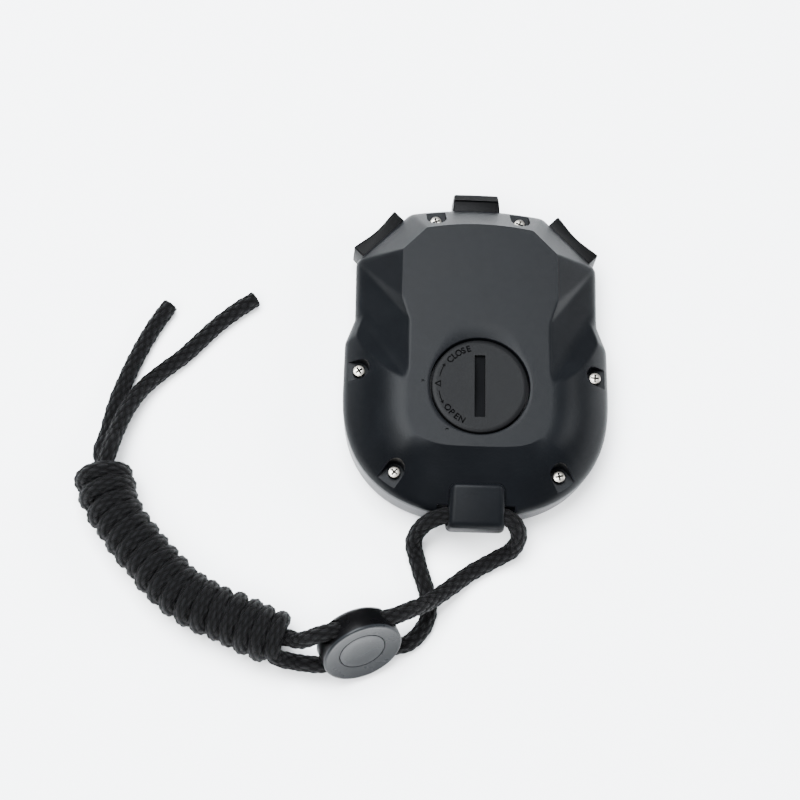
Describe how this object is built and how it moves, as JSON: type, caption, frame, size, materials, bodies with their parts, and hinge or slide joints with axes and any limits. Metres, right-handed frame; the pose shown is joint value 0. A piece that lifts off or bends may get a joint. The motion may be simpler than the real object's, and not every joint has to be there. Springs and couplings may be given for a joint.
{
  "type": "stopwatch",
  "caption": "Hand-held electronic sports stopwatch lying face down, with push buttons, a coin-slot battery cover, and a wound cord lanyard with a cord stopper.",
  "frame": {"origin": "on the surface the watch lies on, under the middle of the watch's box without its cord", "axes": "+Z out of the watch's back, +Y towards the mode button, +X to the right seen from the back"},
  "size_m": [0.1304, 0.1248, 0.0225],
  "materials": {
    "case_plastic": "fine satin",
    "front_plastic": "satin",
    "button_plastic": "satin",
    "cover_plastic": "fine matt",
    "seal_rubber": "matt",
    "nickel_steel": "nickel plated",
    "clear_window": "polished",
    "lcd_glass": "satin polariser",
    "trim_plastic": "gloss",
    "inner_plastic": "matt",
    "board_laminate": "solder mask",
    "black_resin": "poured resin",
    "brass_disc": "rolled",
    "battery_steel": "bright",
    "switch_plastic": "matt",
    "cord_braid": "braided",
    "stopper_plastic": "satin",
    "stopper_button": "gloss"
  },
  "bodies": {
    "watch": {"front_shell": "front_plastic", "back_shell": "case_plastic", "case_gasket": "seal_rubber", "window_lens": "clear_window", "front_trim": "trim_plastic", "lcd_panel": "lcd_glass", "lcd_frame": "inner_plastic", "contact_strip_top": "seal_rubber", "contact_strip_bottom": "seal_rubber", "circuit_board": "board_laminate", "chip_cover": "black_resin", "quartz_crystal": "nickel_steel", "sounder_disc": "brass_disc", "sounder_spring": "nickel_steel", "coin_battery": "battery_steel", "battery_contact_minus": "nickel_steel", "battery_contact_plus": "nickel_steel", "case_screw_top_left": "nickel_steel", "case_screw_top_right": "nickel_steel", "case_screw_side_left": "nickel_steel", "case_screw_side_right": "nickel_steel", "case_screw_bottom_left": "nickel_steel", "case_screw_bottom_right": "nickel_steel", "board_screw_1": "nickel_steel", "board_screw_2": "nickel_steel", "board_screw_3": "nickel_steel", "board_screw_4": "nickel_steel", "mode_switch_body": "switch_plastic", "left_switch_body": "switch_plastic", "right_switch_body": "switch_plastic", "lanyard_right_strand": "cord_braid", "lanyard_left_strand": "cord_braid", "lanyard_hank": "cord_braid", "lanyard_low_tail": "cord_braid", "lanyard_top_tail": "cord_braid", "stopper_barrel": "stopper_plastic", "stopper_spring": "nickel_steel", "mode_button_seal": "seal_rubber", "left_button_seal": "seal_rubber", "right_button_seal": "seal_rubber"},
    "mode_button": {"mode_button_cap": "button_plastic", "mode_button_clip": "nickel_steel", "mode_switch_plunger": "inner_plastic"},
    "left_button": {"left_button_cap": "button_plastic", "left_button_clip": "nickel_steel", "left_switch_plunger": "inner_plastic"},
    "right_button": {"right_button_cap": "button_plastic", "right_button_clip": "nickel_steel", "right_switch_plunger": "inner_plastic"},
    "battery_cover": {"battery_cover": "cover_plastic", "battery_cover_seal": "seal_rubber"},
    "stopper_button": {"stopper_button": "stopper_button"}
  },
  "joints": [
    {"name": "mode_button_press", "type": "slide", "parent": "watch", "child": "mode_button", "axis": [0, -1, 0], "range_m": [0, 0.0012], "stiffness_N_per_m": 600, "springref_m": -0.0005},
    {"name": "left_button_press", "type": "slide", "parent": "watch", "child": "left_button", "axis": [0.7071, -0.7071, 0], "range_m": [0, 0.0012], "stiffness_N_per_m": 600, "springref_m": -0.0005},
    {"name": "right_button_press", "type": "slide", "parent": "watch", "child": "right_button", "axis": [-0.7071, -0.7071, 0], "range_m": [0, 0.0012], "stiffness_N_per_m": 600, "springref_m": -0.0005},
    {"name": "battery_cover_turn", "type": "hinge", "parent": "watch", "child": "battery_cover", "pos_m": [0, -0.0107, 0.0213], "axis": [0, 0, 1], "range_deg": [0, 52]},
    {"name": "stopper_press", "type": "slide", "parent": "watch", "child": "stopper_button", "axis": [-0.345, 0.8479, -0.4025], "range_m": [0, 0.001], "stiffness_N_per_m": 600, "springref_m": -0.0005, "deforming": ["stopper_spring"]}
  ]
}
